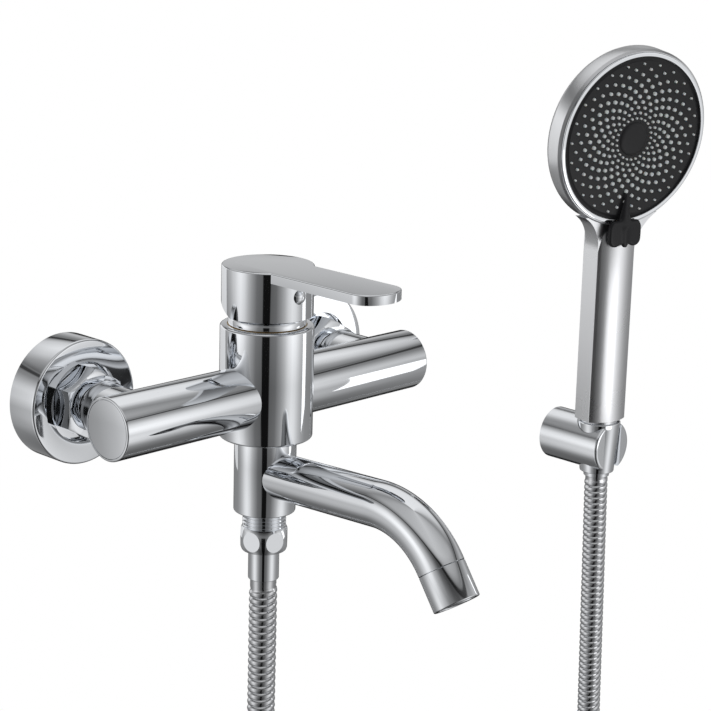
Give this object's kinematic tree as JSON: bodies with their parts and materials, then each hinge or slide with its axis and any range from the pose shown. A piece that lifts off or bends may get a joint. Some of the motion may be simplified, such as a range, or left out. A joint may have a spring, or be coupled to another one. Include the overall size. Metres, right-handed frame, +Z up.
{
  "type": "bath mixer",
  "caption": "Wall-held single-lever bath mixer with swivelling spout, ribbed hose, round hand shower and wall bracket, all in polished chrome with a black spray face.",
  "frame": {"origin": "on the wall's face, midway between the two threaded wall ends of the eccentric unions", "axes": "+X along the wall to the right as the user sees it, +Y into the wall, +Z up"},
  "size_m": [0.4406, 0.2083, 0.7356],
  "materials": {
    "polished_chrome": "polished",
    "satin_chrome": "satin",
    "plated_plastic": "chrome plated",
    "rough_brass": "machined",
    "steel": "plain",
    "ceramic": "lapped ceramic",
    "white_plastic": "moulded",
    "grey_plastic": "moulded",
    "black_plastic": "satin moulded",
    "black_rubber": "moulded",
    "grey_silicone": "moulded"
  },
  "bodies": {
    "fixed": {"body_casting": "polished_chrome", "arm_plug_left": "polished_chrome", "arm_plug_right": "polished_chrome", "escutcheon_left": "polished_chrome", "escutcheon_right": "polished_chrome", "eccentric_union_left": "rough_brass", "eccentric_union_right": "rough_brass", "union_nut_left": "polished_chrome", "union_nut_right": "polished_chrome", "union_washers": "black_rubber", "inlet_tail_left": "polished_chrome", "inlet_tail_right": "polished_chrome", "cartridge_base": "white_plastic", "cartridge_seals": "black_rubber", "fixed_disc": "ceramic", "cartridge_housing": "white_plastic", "cartridge_nut": "rough_brass", "bonnet": "polished_chrome", "outlet_core": "rough_brass", "spout_o_rings": "black_rubber", "glide_ring": "white_plastic", "hose_nipple": "satin_chrome", "hose_nut": "polished_chrome", "hose_washer": "black_rubber", "hose_ferrule": "polished_chrome", "hose_tube": "satin_chrome", "bracket_body": "polished_chrome", "bracket_base": "grey_plastic", "bracket_lock_screw": "steel"},
    "temperature": {"stem_rotor": "white_plastic", "stem_pin": "steel"},
    "lever": {"lever_stem": "rough_brass", "lever_handle": "polished_chrome", "grub_screw": "steel", "screw_cover": "polished_chrome"},
    "disc": {"moving_disc": "ceramic", "disc_carrier": "white_plastic"},
    "spout": {"spout": "polished_chrome", "aerator_housing": "polished_chrome", "aerator_insert": "grey_plastic", "aerator_washer": "black_rubber"},
    "hose_end": {"cone_ferrule": "polished_chrome"},
    "handset": {"hose_cone": "polished_chrome", "cone_washer": "black_rubber", "hand_inlet": "satin_chrome", "handset_shell": "plated_plastic", "head_rim": "plated_plastic", "face_plate": "black_plastic", "nozzle_mat": "grey_silicone", "centre_disc": "black_plastic", "face_screw": "steel", "water_plate": "grey_plastic", "face_seal": "black_rubber"},
    "selector": {"selector_disc": "grey_plastic", "spray_selector": "black_plastic"}
  },
  "joints": [
    {"name": "spout_swivel", "type": "hinge", "parent": "fixed", "child": "spout", "pos_m": [0, -0.058, -0.0327], "axis": [0, 0, 1], "range_deg": [-90, 90]},
    {"name": "lever_turn", "type": "hinge", "parent": "fixed", "child": "temperature", "pos_m": [0, -0.058, 0.0335], "axis": [0, 0, 1], "range_deg": [-45, 45]},
    {"name": "lever_tilt", "type": "hinge", "parent": "temperature", "child": "lever", "pos_m": [0, -0.058, 0.0335], "axis": [-1, 0, 0], "range_deg": [0, 25]},
    {"name": "disc_slide", "type": "slide", "parent": "temperature", "child": "disc", "axis": [0, -1, 0], "range_m": [0, 0.00255]},
    {"name": "handset_lift", "type": "slide", "parent": "fixed", "child": "hose_end", "axis": [0, 0, 1], "range_m": [0, 0.045]},
    {"name": "handset_turn", "type": "hinge", "parent": "hose_end", "child": "handset", "pos_m": [0.289, -0.0315, -0.0825], "axis": [0, 0, 1], "range_deg": [-20, 45]},
    {"name": "selector_turn", "type": "hinge", "parent": "handset", "child": "selector", "pos_m": [0.28501, -0.04751, 0.0975], "axis": [-0.2399, -0.962, -0.1305], "range_deg": [-5, 5]}
  ],
  "couplings": [
    {"joint": "disc_slide", "follows": "lever_tilt", "m_per_rad": 0.00575}
  ]
}
